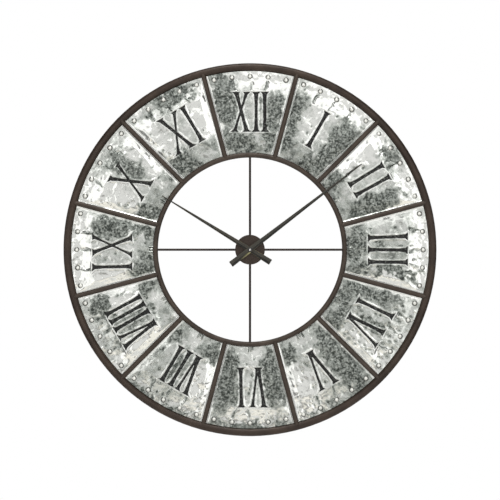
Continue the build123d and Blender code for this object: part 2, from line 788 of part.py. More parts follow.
with BuildPart() as movement_rear_case:
    with BuildSketch(dial_plane(case_off_wall)):
        RectangleRounded(case_size, case_size, case_corner)
    extrude(amount=case_depth - case_wall)
    with BuildSketch(dial_plane(rear_inside)):
        RectangleRounded(case_size - 2 * case_wall, case_size - 2 * case_wall, case_corner - case_wall)
    extrude(amount=case_depth, mode=Mode.SUBTRACT)
    with BuildSketch(dial_plane(case_off_wall)):
        with Locations((0, bay_top + bay_wall / 2)):
            Rectangle(case_size - case_wall, bay_wall)
    extrude(amount=case_depth - case_wall)
    # The bay is open at the back, so that the cell can be changed from behind.
    with BuildSketch(dial_plane(case_off_wall)):
        with Locations((0, battery_z)):
            Rectangle(2 * bay_half_length, battery_diameter + 0.4)
        with Locations(setting_centre):
            Circle(knob_radius + 0.4)
    extrude(amount=case_wall, mode=Mode.SUBTRACT)
    with BuildSketch(dial_plane(pivot_back - 0.1)):
        with Locations(*pivot_places):
            Circle(pivot_radius + running_gap)
    extrude(amount=case_wall, mode=Mode.SUBTRACT)
save(movement_rear_case.part, "movement_rear_case")

hour_tube_bore = hour_tube_radius + running_gap
with BuildPart() as movement_front_cover:
    with BuildSketch(dial_plane(case_inside)):
        RectangleRounded(case_size, case_size, case_corner)
    extrude(amount=case_wall)
    with BuildSketch(dial_plane(case_front)):
        Circle(bush_radius)
    extrude(amount=bush_front - case_front)
    with BuildSketch(dial_plane(case_inside)):
        Circle(hour_tube_bore)
    extrude(amount=bush_front - case_inside, mode=Mode.SUBTRACT)
    with BuildSketch(dial_plane(case_inside)):
        with Locations(*pivot_places[1:], setting_centre):
            Circle(pivot_radius + running_gap)
    extrude(amount=pivot_front + 0.1 - case_inside, mode=Mode.SUBTRACT)
save(movement_front_cover.part, "movement_front_cover")

cell_nub_radius, cell_nub_height = 2.7, 1.2
cell_plane = Plane(
    origin=(-battery_length / 2, off_wall(battery_depth), battery_z), x_dir=(0, 1, 0), z_dir=(1, 0, 0)
)
with BuildPart() as battery:
    with BuildSketch(cell_plane):
        Circle(battery_diameter / 2)
    extrude(amount=battery_length - cell_nub_height)
    fillet(battery.edges(), 0.6)
    with BuildSketch(cell_plane.offset(battery_length - cell_nub_height - 0.2)):
        Circle(cell_nub_radius)
    extrude(amount=cell_nub_height + 0.2)
save(battery.part, "battery")

contact_width = 6.6
contact_back = rear_inside + 0.4
contact_height = case_inside - contact_back - 0.6
dimple_radius = 3.0
dimple_height = 0.6
for name, side in (("contact_positive", 1), ("contact_negative", -1)):
    strip_x = side * (case_size / 2 - case_wall - contact_sheet / 2)
    with BuildPart() as contact:
        with BuildSketch(dial_plane(contact_back)):
            with Locations((strip_x, battery_z)):
                Rectangle(contact_sheet, contact_width)
        extrude(amount=contact_height)
        inner_face = side * (case_size / 2 - case_wall - contact_sheet)
        dimple_plane = Plane(
            origin=(inner_face, off_wall(battery_depth), battery_z), x_dir=(0, 1, 0), z_dir=(-side, 0, 0)
        )
        with BuildSketch(dimple_plane):
            Circle(dimple_radius)
        extrude(amount=dimple_height, taper=30)
    save(contact.part, name)
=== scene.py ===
"""Looks of the open wall clock: hammered zinc dial panels with pressed numerals, a welded bronze tube
frame, antiqued hands and a battery movement behind the hub.

Metres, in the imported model's frame: +X to the reader's right, +Z up, the dial faces -Y and the wall is
at +Y. Angles on the dial are in degrees clockwise from twelve.
"""

import json
import random
from math import cos, pi, radians, sin, sqrt

import bpy
import numpy as np
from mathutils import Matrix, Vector, noise


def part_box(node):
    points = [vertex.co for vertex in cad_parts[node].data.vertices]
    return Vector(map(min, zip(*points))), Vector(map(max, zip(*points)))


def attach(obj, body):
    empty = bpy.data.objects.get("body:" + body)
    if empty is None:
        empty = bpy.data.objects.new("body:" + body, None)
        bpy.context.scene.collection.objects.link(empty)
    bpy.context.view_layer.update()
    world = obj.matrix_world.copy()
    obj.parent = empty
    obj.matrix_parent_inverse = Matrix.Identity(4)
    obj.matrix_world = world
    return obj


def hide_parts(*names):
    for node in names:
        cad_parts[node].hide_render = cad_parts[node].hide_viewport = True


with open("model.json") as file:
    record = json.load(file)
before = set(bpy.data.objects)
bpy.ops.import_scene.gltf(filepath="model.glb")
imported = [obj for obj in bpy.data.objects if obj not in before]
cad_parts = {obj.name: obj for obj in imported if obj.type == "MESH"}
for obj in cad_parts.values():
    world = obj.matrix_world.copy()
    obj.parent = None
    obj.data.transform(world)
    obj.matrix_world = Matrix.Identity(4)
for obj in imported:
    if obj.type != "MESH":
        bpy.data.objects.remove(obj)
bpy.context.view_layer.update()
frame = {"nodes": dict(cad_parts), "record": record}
bpy.ops.object.select_all(action="DESELECT")

MM = 0.001
hours = range(1, 13)
sector = 30.0

# ---------------------------------------------------------------- places read from the frame
ring_low, ring_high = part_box("outer_ring")
outer_tube = ring_high.y - ring_low.y
outer_ring_centre = ring_high.x - outer_tube / 2
outer_ring_plane = (ring_low.y + ring_high.y) / 2
inner_low, inner_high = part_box("inner_ring")
inner_tube = inner_high.y - inner_low.y
inner_ring_centre = inner_high.x - inner_tube / 2
inner_ring_plane = (inner_low.y + inner_high.y) / 2
bar_low, bar_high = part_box("divider_01")
bar_radius = (bar_high.y - bar_low.y) / 2
bar_plane = (bar_low.y + bar_high.y) / 2
panel_low, panel_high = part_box("dial_panel_12")
spoke_low, spoke_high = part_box("spoke_top")
spoke_radius = (spoke_high.x - spoke_low.x) / 2
spoke_plane = (spoke_low.y + spoke_high.y) / 2

sheet = 0.9 * MM
panel_fit = 0.05 * MM                       # gap between a panel's edge and the bar or ring beside it
panel_inner = inner_high.x + panel_fit
panel_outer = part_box("rivet_strips")[1].x
margin_plane = panel_high.y - sheet         # the front face of a panel's flat margin
panel_rise = margin_plane - panel_low.y     # how far the field stands in front of the margin
side_gap = bar_radius + panel_fit
rivet_pitch = 6.0                           # degrees between rivets
divider_weld = 0.9 * MM
spoke_weld = 0.7 * MM

hour_hand_angle = 301.5
minute_hand_angle = 52.5
hour_hand_reach = 252 * MM
minute_hand_reach = 344 * MM
hand_tail = 59 * MM                         # from the arbor, like the reaches
floor_radius = 1.6
floor_level = -1.05


# ---------------------------------------------------------------- shader arithmetic
class Wire:
    """A socket of a material in the making. Arithmetic on it adds Math nodes."""

    def __init__(self, shade, socket):
        self.shade = shade
        self.socket = socket

    def _with(self, operation, first, second):
        return self.shade.node("ShaderNodeMath", {"operation": operation}, {0: first, 1: second})

    def __add__(self, other):
        return self._with("ADD", self, other)

    def __radd__(self, other):
        return self._with("ADD", other, self)

    def __sub__(self, other):
        return self._with("SUBTRACT", self, other)

    def __rsub__(self, other):
        return self._with("SUBTRACT", other, self)

    def __mul__(self, other):
        return self._with("MULTIPLY", self, other)

    def __rmul__(self, other):
        return self._with("MULTIPLY", other, self)

    def __truediv__(self, other):
        return self._with("DIVIDE", self, other)

    def __rtruediv__(self, other):
        return self._with("DIVIDE", other, self)

    def __abs__(self):
        return self._with("ABSOLUTE", self, 0.0)

    def clamped(self):
        """This value, kept from 0 to 1."""
        return self.span(0.0, 1.0)

    def span(self, low, high, start=0.0, end=1.0):
        """This value's place between low and high, as a value from start to end."""
        inputs = {"Value": self, "From Min": low, "From Max": high, "To Min": start, "To Max": end}
        return self.shade.node("ShaderNodeMapRange", {"clamp": True}, inputs)


class Shade:
    """A material in the making: one surface shader and whatever feeds it."""

    def __init__(self, name, **constants):
        self.material = bpy.data.materials.new(name)
        self.material.use_nodes = True
        self.tree = self.material.node_tree
        self.tree.nodes.clear()
        self.surface = self.tree.nodes.new("ShaderNodeBsdfPrincipled")
        output = self.tree.nodes.new("ShaderNodeOutputMaterial")
        self.tree.links.new(self.surface.outputs[0], output.inputs["Surface"])
        self.place = self.node("ShaderNodeTexCoord", {}, {}, "Object")
        for name, value in constants.items():
            socket = name.replace("_", " ").title().replace("Ior", "IOR")
            self.surface.inputs[socket].default_value = value

    def feed(self, socket, value):
        """Gives a socket a link, a colour or a plain value."""
        if isinstance(value, Wire):
            self.tree.links.new(value.socket, socket)
        elif hasattr(value, "__len__") and len(value) == 3 and socket.type == "RGBA":
            socket.default_value = (*value, 1.0)
        else:
            socket.default_value = value

    def node(self, kind, settings, inputs, output=0):
        """Adds a node with its settings, then the values or links of its sockets."""
        made = self.tree.nodes.new(kind)
        for key, value in settings.items():
            setattr(made, key, value)
        for key, value in inputs.items():
            self.feed(made.inputs[key], value)
        return Wire(self, made.outputs[output])

    def mix(self, share, first, second):
        """A colour between two others."""
        made = self.tree.nodes.new("ShaderNodeMix")
        made.data_type = "RGBA"
        self.feed(made.inputs["Factor"], share)
        colours = [socket for socket in made.inputs if socket.type == "RGBA"]
        self.feed(colours[0], first)
        self.feed(colours[1], second)
        return Wire(self, [socket for socket in made.outputs if socket.type == "RGBA"][0])

    def grain(self, size, detail=3.0, roughness=0.55, warp=0.0):
        """Cloudy variation, its clouds about size metres across."""
        inputs = {
            "Vector": self.place,
            "Scale": 1 / size,
            "Detail": detail,
            "Roughness": roughness,
            "Distortion": warp,
        }
        return self.node("ShaderNodeTexNoise", {}, inputs)

    def cells(self, size, output):
        """Cells about size metres across: the distance from each one's middle, or its own colour."""
        return self.node("ShaderNodeTexVoronoi", {}, {"Vector": self.place, "Scale": 1 / size}, output)

    def crystals(self, size):
        """A random grey for each crystal of a spangle, size metres across."""
        return self.node("ShaderNodeSeparateColor", {}, {"Color": self.cells(size, "Color")})

    def along(self, direction):
        """How far along a direction a point lies."""
        inputs = {0: self.place, 1: direction}
        return self.node("ShaderNodeVectorMath", {"operation": "DOT_PRODUCT"}, inputs, "Value")

    def attribute(self, name):
        """A value that the piece's mesh holds at each of its points."""
        return self.node("ShaderNodeAttribute", {"attribute_name": name}, {}, "Fac")

    def finish(self, colour, roughness, metallic=None, relief=None, relief_height=0.0, relief_strength=0.0):
        """Joins up what the surface is made of, and gives the finished material."""
        self.feed(self.surface.inputs["Base Color"], colour)
        self.feed(self.surface.inputs["Roughness"], roughness)
        if metallic is not None:
            self.feed(self.surface.inputs["Metallic"], metallic)
        if relief is not None:
            inputs = {"Height": relief, "Distance": relief_height, "Strength": relief_strength}
            bump = self.node("ShaderNodeBump", {}, inputs, "Normal")
            self.feed(self.surface.inputs["Normal"], bump)
        return self.material


# ---------------------------------------------------------------- finishes
white_zinc = (0.88, 0.885, 0.845)
grey_zinc = (0.56, 0.58, 0.54)
dull_zinc = (0.27, 0.295, 0.27)
pale_tarnish = (0.4, 0.425, 0.39)
black_tarnish = (0.036, 0.042, 0.036)
black_paint = (0.01, 0.01, 0.009)
chalked_paint = (0.24, 0.25, 0.23)
bare_bronze = (0.26, 0.215, 0.18)
# the colour of a painted brass highlight on the minute hand's tail
brass_glint = (0.5, 0.46, 0.22)
even_tarnish = 0.55             # on a sheet's back


def zinc_finish(name, numerals):
    """Galvanised sheet: clean bright patches, dark grainy tarnish, and black enamel in the numerals."""
    shade = Shade(name, specular_ior_level=0.3)
    drifts = shade.grain(0.024, 4.0, 0.6, warp=0.5)
    grains = shade.grain(0.0052, 3.0, 0.68)
    flecks = shade.grain(0.0115, 2.0, 0.6, warp=0.4)
    fine = shade.grain(0.0021, 2.0, 0.65)
    spangle = shade.crystals(0.008)
    # The tarnish attribute also carries painted shade beyond the folds at each panel's hub end.
    tarnish = shade.attribute("tarnish") if numerals else even_tarnish
    age = (drifts - 0.5 + tarnish).clamped()
    clean = shade.mix(age.span(0.1, 0.55), white_zinc, grey_zinc)
    clean = shade.mix(spangle * age.span(0.1, 0.5, 0.05, 0.4), clean, dull_zinc)
    speckle = grains * 0.62 + flecks * 0.28 + fine * 0.1
    grain_share = (age + (speckle - 0.5) * 1.6).span(0.48, 0.74)
    pits = speckle.span(0.59, 0.44) * age.span(0.5, 0.95, 0.74, 0.97)
    tarnished = shade.mix(pits, pale_tarnish, black_tarnish)
    sparks = (grains * 0.6 + fine * 0.4).span(0.58, 0.68)
    tarnished = shade.mix(sparks * 0.7, tarnished, white_zinc)
    colour = shade.mix(grain_share, clean, tarnished)
    rough = 0.15 + age * 0.1 + grain_share * 0.16
    metal = 1.0 - pits * grain_share * 0.3
    if numerals:
        paint = (shade.attribute("paint") * 1.3 - fine * 0.3).span(0.3, 0.6)
        worn_paint = shade.mix(grains.span(0.54, 0.66) * 0.6, black_paint, chalked_paint)
        colour = shade.mix(paint, colour, worn_paint)
        rough = rough + paint * 0.2
        metal = metal * (1.0 - paint)
    relief = grains * (grain_share * 0.9 + 0.15) + fine * (grain_share * 0.3 + 0.06)
    return shade.finish(colour, rough, metal, relief, 0.0007, 0.55)


def bronze_finish(name, dark, light):
    """Dark bronze paint on the welded frame, rubbed a little lighter in patches."""
    shade = Shade(name, specular_ior_level=0.5)
    patches = shade.grain(0.05, 4.0, 0.6)
    pores = shade.grain(0.0016, 3.0, 0.6)
    even = shade.mix(patches.span(0.35, 0.7), dark, light)
    rubbed = pores.span(0.58, 0.78) * patches.span(0.45, 0.75) * 0.45
    colour = shade.mix(rubbed, even, bare_bronze)
    rough = 0.3 + pores * 0.2 + patches * 0.08
    return shade.finish(colour, rough, 0.35, pores + patches * 0.6, 0.0003, 0.5)


def hand_finish(name, angle, reach, tail_width, tip_width, edge_colour, lit_side, tail_glint=0.0):
    """Antiqued black on a hand, thin in patches, with one side of its fold painted paler as painted light,
    and rubbed to bronze along its edges.

    lit_side is 1 where the clockwise side of the fold is painted paler, and -1 where the other is. The last
    argument is how strongly a painted brass highlight lies on the clockwise side of the tail beside the cap
    nut."""
    shade = Shade(name, specular_ior_level=0.4)
    out = (sin(radians(angle)), 0.0, cos(radians(angle)))
    across = (cos(radians(angle)), 0.0, -sin(radians(angle)))
    place = shade.along(out)
    half_width = place.span(-hand_tail, reach, tail_width / 2, tip_width / 2)
    side = shade.along(across) / half_width
    edge = abs(side)
    streaks = shade.grain(0.004, 4.0, 0.65)
    patches = shade.grain(0.022, 3.0, 0.5)
    fold = edge.span(0.0, 0.14, 1.0, 0.0)
    worn = edge.span(0.72, 0.98) + fold * 0.55
    worn = (worn * patches.span(0.3, 0.65) * streaks.span(0.3, 0.62)).clamped()
    # One side of the fold is painted paler as painted light; random thin paint in patches adds to it.
    painted_lit_facet = (side * lit_side + 0.1).span(-0.12, 0.12)
    thin_paint_and_lit_facet = patches.span(0.3, 0.7) * 0.4 + painted_lit_facet * 0.6
    black = shade.mix(thin_paint_and_lit_facet, (0.008, 0.008, 0.007), (0.055, 0.051, 0.04))
    colour = shade.mix(worn * 0.75, black, edge_colour)
    # A painted brass highlight on the clockwise side of the tail, beside the cap nut.
    if tail_glint:
        beside_nut = place.span(-34 * MM, -8 * MM) * place.span(-1 * MM, -5 * MM)
        colour = shade.mix(beside_nut * side.span(0.3, 0.9) * tail_glint, colour, brass_glint)
    rough = 0.42 + streaks * 0.2 - worn * 0.12
    return shade.finish(colour, rough, worn * 0.7 + 0.15, streaks, 0.00025, 0.5)


def bare_metal(name, light, dark, rough):
    """Plain metal with a faint grain, darker where it has been handled."""
    shade = Shade(name)
    scuffs = shade.grain(0.002, 4.0, 0.6)
    stain = shade.grain(0.012, 3.0, 0.55)
    colour = shade.mix(stain.span(0.35, 0.75) * 0.6 + scuffs * 0.3, light, dark)
    return shade.finish(colour, rough + scuffs * 0.18 + stain * 0.08, 1.0, scuffs, 0.00008, 0.7)


def moulded_plastic(name, light, dark, rough, size=0.0005, relief=0.00006):
    """Moulded plastic with a fine spark texture and a little dust."""
    shade = Shade(name)
    spark = shade.grain(size, 2.0, 0.5)
    flow = shade.grain(0.012, 3.0, 0.5)
    colour = shade.mix(flow.span(0.3, 0.75), light, dark)
    return shade.finish(colour, rough + spark * 0.12, 0.0, spark, relief, 0.6)


def rivet_finish():
    """Domed zinc-plated rivets, bright on top, darker where each meets the sheet with painted shade and
    some grime.
    """
    shade = Shade("rivet_plate")
    scuffs = shade.grain(0.0022, 3.0, 0.6)
    uneven = shade.grain(0.011, 2.0, 0.5)
    above_margin = shade.along((0.0, -1.0, 0.0)) + margin_plane
    # Painted shade, broken up a little like grime: darker near each dome's foot, where it meets the sheet.
    foot_shade_and_grime = above_margin.span(1.7 * MM, 2.9 * MM, 1.0, 0.0) * uneven.span(0.3, 0.46)
    colour = shade.mix(scuffs * 0.4, (0.9, 0.9, 0.84), (0.5, 0.5, 0.46))
    colour = shade.mix(foot_shade_and_grime * 0.93, colour, (0.035, 0.038, 0.03))
    rough = 0.2 + scuffs * 0.16 + foot_shade_and_grime * 0.3
    return shade.finish(colour, rough, 1.0 - foot_shade_and_grime * 0.4, scuffs, 0.0001, 0.6)


def winding_finish():
    """Enamelled copper wire wound side by side round the bobbin."""
    shade = Shade("copper_winding")
    wave = shade.node(
        "ShaderNodeTexWave",
        {"bands_direction": "X"},
        {"Vector": shade.place, "Scale": 900.0, "Distortion": 1.2, "Detail": 1.0},
        "Fac",
    )
    colour = shade.mix(wave, (0.3, 0.1, 0.035), (0.62, 0.25, 0.1))
    return shade.finish(colour, 0.3, 0.85, wave, 0.00006, 0.8)


def board_finish():
    """Green solder mask over copper tracks."""
    shade = Shade("solder_mask")
    tracks = shade.cells(0.0026, "Distance")
    colour = shade.mix(tracks.span(0.42, 0.5), (0.012, 0.09, 0.04), (0.03, 0.17, 0.07))
    return shade.finish(colour, 0.3 + tracks * 0.15, 0.0, tracks, 0.00005, 0.5)


def cell_finish():
    """A plain dark film jacket with a copper-coloured end band, bare steel at both ends."""
    shade = Shade("cell_jacket")
    low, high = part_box("battery")
    length = high.x - low.x
    place = shade.along((1.0, 0.0, 0.0))
    fine = shade.grain(0.0009, 2.0, 0.5)
    band = place.span(high.x - 0.3 * length, high.x - 0.29 * length)
    button_end = place.span(high.x - 2.0 * MM, high.x - 1.7 * MM)
    flat_end = place.span(low.x + 0.9 * MM, low.x + 1.1 * MM, 1.0, 0.0)
    steel = button_end + flat_end
    colour = shade.mix(band, (0.016, 0.017, 0.02), (0.5, 0.22, 0.09))
    colour = shade.mix(steel, colour, (0.7, 0.7, 0.68))
    return shade.finish(colour, 0.22 + fine * 0.12, steel * 0.9 + 0.05, fine, 0.00002, 0.4)


# ---------------------------------------------------------------- dial panels
thick_stroke = 6.9
thin_stroke = 4.6
serif_overhang = 6.0
serif_height = 6.5
taper_overhang = 1.9        # a stroke widens a little towards its ends before the serifs spread
taper_height = 22.0
numeral_top = 386.0
numeral_foot = 289.0

# Each numeral is listed: the width of each stroke and its places at the rim end and at the hub end,
# in millimetres from the panel's middle line.
numeral_strokes = {
    1: [(thick_stroke, -4, -3)],
    2: [(thick_stroke, -17, -15), (thick_stroke, 16, 14)],
    3: [(thick_stroke, -33, -29), (thick_stroke, 1, 0), (thick_stroke, 31, 30)],
    4: [(thick_stroke, -33, -25), (thick_stroke, 12, 19), (thin_stroke, 49, 21)],
    5: [(thick_stroke, -20, -2), (thin_stroke, 19, 1)],
    6: [(thick_stroke, -35, -20), (thin_stroke, -6, -18), (thick_stroke, 21, 23)],
    7: [(thick_stroke, -40, -23), (thin_stroke, -16, -21), (thick_stroke, 3, 2), (thick_stroke, 27, 26)],
    8: [
        (thick_stroke, -53, -38),
        (thin_stroke, -27, -36),
        (thick_stroke, -5, -5),
        (thick_stroke, 16, 15),
        (thick_stroke, 38, 35),
    ],
    9: [(thick_stroke, -43, -41), (thick_stroke, -8, 30), (thin_stroke, 33, -13)],
    10: [(thick_stroke, -22, 20), (thin_stroke, 19, -24)],
    11: [(thick_stroke, -33, 5), (thin_stroke, 8, -35), (thick_stroke, 30, 32)],
    12: [(thick_stroke, -34, -8), (thin_stroke, -8, -38), (thick_stroke, 15, 15), (thick_stroke, 36, 36)],
}

# How each panel has weathered: (tarnish, across, up, half width, half height) of its patches. Tarnish runs
# from 0, clean, to 1, black and grainy; across from -1 to 1, clockwise; and up from 0 at the hub end to 1.
plain_tarnish = 0.4             # between the patches
panel_patches = {
    1: [
        (0.0, 0.05, 0.93, 0.85, 0.17),
        (0.0, -0.1, 0.78, 0.35, 0.12),
        (0.95, -0.92, 0.5, 0.3, 0.4),
        (1.0, 0.72, 0.5, 0.36, 0.33),
        (0.15, -0.25, 0.5, 0.32, 0.2),
        (0.7, 0.3, 0.08, 0.8, 0.1),
    ],
    2: [
        (0.0, -0.78, 0.62, 0.35, 0.38),
        (0.0, 0.6, 0.92, 0.55, 0.12),
        (0.85, -0.3, 0.88, 0.26, 0.08),
        (1.0, 0.7, 0.45, 0.36, 0.32),
        (0.9, -0.75, 0.1, 0.3, 0.12),
        (0.15, 0.0, 0.15, 0.25, 0.09),
    ],
    3: [
        (0.0, 0.0, 0.92, 0.9, 0.14),
        (0.3, -0.85, 0.5, 0.2, 0.3),
        (0.0, 0.95, 0.5, 0.16, 0.36),
        (1.0, 0.62, 0.55, 0.16, 0.3),
        (0.65, 0.0, 0.5, 0.4, 0.22),
        (0.9, 0.0, 0.1, 0.8, 0.09),
    ],
    4: [
        (0.85, -0.7, 0.5, 0.3, 0.3),
        (0.15, 0.7, 0.7, 0.42, 0.35),
        (0.35, -0.3, 0.9, 0.6, 0.12),
        (0.8, 0.1, 0.12, 0.8, 0.1),
        (0.9, 0.1, 0.55, 0.15, 0.2),
    ],
    5: [
        (1.0, -0.7, 0.55, 0.42, 0.45),
        (0.0, 0.65, 0.66, 0.44, 0.34),
        (0.75, 0.7, 0.2, 0.4, 0.08),
        (0.85, -0.1, 1.0, 1.1, 0.05),
        (0.15, 0.0, 0.1, 0.5, 0.14),
    ],
    6: [
        (0.0, 0.0, 0.82, 0.85, 0.13),
        (0.85, 0.0, 1.0, 1.1, 0.06),
        (1.0, -0.7, 0.42, 0.42, 0.36),
        (1.0, 0.7, 0.48, 0.34, 0.38),
        (0.3, 0.0, 0.55, 0.35, 0.12),
        (0.1, 0.0, 0.08, 0.6, 0.16),
    ],
    7: [
        (0.0, -0.75, 0.6, 0.34, 0.34),
        (0.85, 0.0, 1.0, 1.1, 0.05),
        (0.5, 0.75, 0.5, 0.28, 0.33),
        (0.85, 0.1, 0.5, 0.3, 0.22),
        (0.95, -0.75, 0.16, 0.35, 0.12),
        (0.1, 0.1, 0.1, 0.35, 0.15),
    ],
    8: [
        (0.0, -0.82, 0.5, 0.28, 0.55),
        (0.15, 0.6, 0.5, 0.35, 0.3),
        (1.0, 0.7, 0.75, 0.25, 0.13),
        (0.8, 0.0, 0.52, 0.35, 0.2),
        (0.1, 0.1, 0.1, 0.4, 0.14),
        (0.85, 0.75, 0.15, 0.25, 0.12),
    ],
    9: [
        (0.0, 0.0, 0.9, 1.0, 0.14),
        (0.05, -0.75, 0.6, 0.3, 0.3),
        (1.0, 0.65, 0.5, 0.36, 0.28),
        (0.95, -0.6, 0.12, 0.35, 0.12),
        (0.15, 0.35, 0.2, 0.4, 0.1),
        (0.8, 0.7, 0.05, 0.35, 0.08),
    ],
    10: [
        (0.05, -0.65, 0.65, 0.42, 0.42),
        (0.0, 0.85, 0.5, 0.26, 0.42),
        (0.95, 0.2, 0.62, 0.28, 0.22),
        (1.0, -0.75, 0.1, 0.3, 0.12),
        (0.1, 0.55, 0.2, 0.3, 0.1),
    ],
    11: [
        (0.0, 0.72, 0.58, 0.4, 0.32),
        (1.0, 0.2, 0.94, 0.6, 0.12),
        (0.15, -0.7, 0.6, 0.35, 0.35),
        (1.0, -0.5, 0.14, 0.4, 0.12),
        (0.2, 0.6, 0.15, 0.4, 0.1),
    ],
    12: [
        (0.0, 0.3, 0.9, 0.65, 0.15),
        (1.0, -0.65, 0.6, 0.3, 0.32),
        (0.85, -0.7, 0.92, 0.28, 0.08),
        (1.0, 0.65, 0.48, 0.3, 0.27),
        (0.9, -0.1, 0.12, 0.9, 0.11),
        (0.15, 0.35, 0.15, 0.28, 0.1),
    ],
}

# Some panels were hammered all over; the others bear a few marks.
hammer_marks = {3: 22, 4: 90, 5: 40, 6: 20, 7: 40, 8: 46, 11: 18}
few_marks = 10

# The slopes of a panel, in millimetres.
field_edge = 383.0              # radius where the field starts to curve down to the margin
margin_edge = 419.0             # radius where that curve ends
rim_edge = 437.0                # radius where the margin starts to climb from the rim
hub_slope = 46.0                # length of the slope up from the hub end
side_slope = 16.0               # width of the slopes along the sides
side_slope_gain = 18.0          # how much wider they are at the hub end
corner_sharpness = 14.0         # how far the slopes keep their own lines where they meet

# How far the marks stand out from the sheet or lie below it, in millimetres.
hammer_depth = 1.0
crease_height = 2.0
crimp_height = 1.5
nip_height = 0.7
turned_side = 1.7
numeral_lip = 0.6
numeral_depth = 1.3
floor_crown = 0.7               # how far the middle of a stroke's floor stands above its edges
crease_start = 421.0            # how far out from the arbor the creases start, before the rivets
crease_length = 34.0            # length over which a crease moves aside by its whole lean


def ramp(value, low, high):
    """0 below low, 1 above high, and smooth between."""
    share = np.clip((value - low) / (high - low), 0, 1)
    return share * share * (3 - 2 * share)


def polygon_distance(x, z, corners):
    """Signed distance from a convex outline whose corners run anticlockwise: negative inside."""
    distance = np.full_like(x, -1e9)
    for (x0, z0), (x1, z1) in zip(corners, corners[1:] + corners[:1]):
        length = sqrt((x1 - x0) ** 2 + (z1 - z0) ** 2)
        side = ((x - x0) * (z1 - z0) - (z - z0) * (x1 - x0)) / length
        distance = np.maximum(distance, side)
    return distance


def stroke_outlines(width, top_x, foot_x):
    """The stem of a stroke, and the flares at its two ends."""
    half = width / 2
    top, foot = numeral_top, numeral_foot
    lean = (top_x - foot_x) / (top - foot)
    outlines = [[(foot_x - half, foot), (foot_x + half, foot), (top_x + half, top), (top_x - half, top)]]
    for overhang, height in ((serif_overhang, serif_height), (taper_overhang, taper_height)):
        wide = half + overhang
        above = foot_x + lean * height
        below = top_x - lean * height
        outlines.append([
            (foot_x - wide, foot),
            (foot_x + wide, foot),
            (above + half, foot + height),
            (above - half, foot + height),
        ])
        outlines.append([
            (below - half, top - height),
            (below + half, top - height),
            (top_x + wide, top),
            (top_x - wide, top),
        ])
    return outlines


def stroke_distance(x, z, strokes):
    """Signed distance in millimetres from a numeral's strokes, serifs and all."""
    nearest = np.full_like(x, 1e9)
    for stroke in strokes:
        for corners in stroke_outlines(*stroke):
            nearest = np.minimum(nearest, polygon_distance(x, z, corners))
    return nearest


def clouds(points, size, seed):
    """Smooth noise from -1 to 1 at each point, its lumps about size millimetres across."""
    return np.array([noise.noise(Vector((x / size, z / size, seed))) for x, z in points])


def ridge(distance, width):
    """1 on a line, falling away smoothly to each side of it."""
    return np.exp(-((distance / width) ** 2))


def crimps(hour, theta, radius):
    """Two or three nips where a panel's hub end was drawn in, from 0 to 1."""
    chance = random.Random(hour + 20)
    marks = np.zeros_like(theta)
    start = panel_inner / MM
    for number in range(3):
        line = radians((number - 1) * 1.4 + chance.uniform(-0.35, 0.35))
        length = chance.uniform(9, 20)
        reach = 1 - ramp(radius, start + length * 0.6, start + length)
        marks = np.maximum(marks, ridge((theta - line) * radius, 1.7) * reach)
    return marks


def creases(hour, x, z, wander):
    """The folds that run from the three middle rivets towards the numeral, from -1 to 1."""
    chance = random.Random(hour + 40)
    marks = np.zeros_like(x)
    for number in (-1, 0, 1):
        lean = chance.uniform(-9, 9)
        start = crease_start * sin(radians(number * rivet_pitch))
        line = start + lean * (crease_start - z) / crease_length + 5.0 * wander
        reach = ramp(z, 384, 392) * (1 - ramp(z, 408, 420))
        strength = chance.choice((-1, 1)) * chance.uniform(0.4, 1.0)
        marks += strength * ridge(x - line, chance.uniform(1.5, 2.8) * (1.2 + wander)) * reach
    return marks


def hammering(hour, x, z, strokes):
    """How deep the round marks of a ball hammer are at each point, from 0 to 1, away from the numeral."""
    chance = random.Random(hour + 60)
    depth = np.zeros_like(x)
    for _ in range(hammer_marks.get(hour, few_marks)):
        mark_theta = radians(chance.uniform(-11.5, 12.5))
        mark_radius = chance.uniform(265, 428)
        away = np.hypot(x - mark_radius * sin(mark_theta), (z - mark_radius * cos(mark_theta)) * 0.75)
        depth = np.maximum(depth, ridge(away, chance.uniform(2.2, 4.2)))
    return depth * ramp(strokes, 2.0, 8.0)


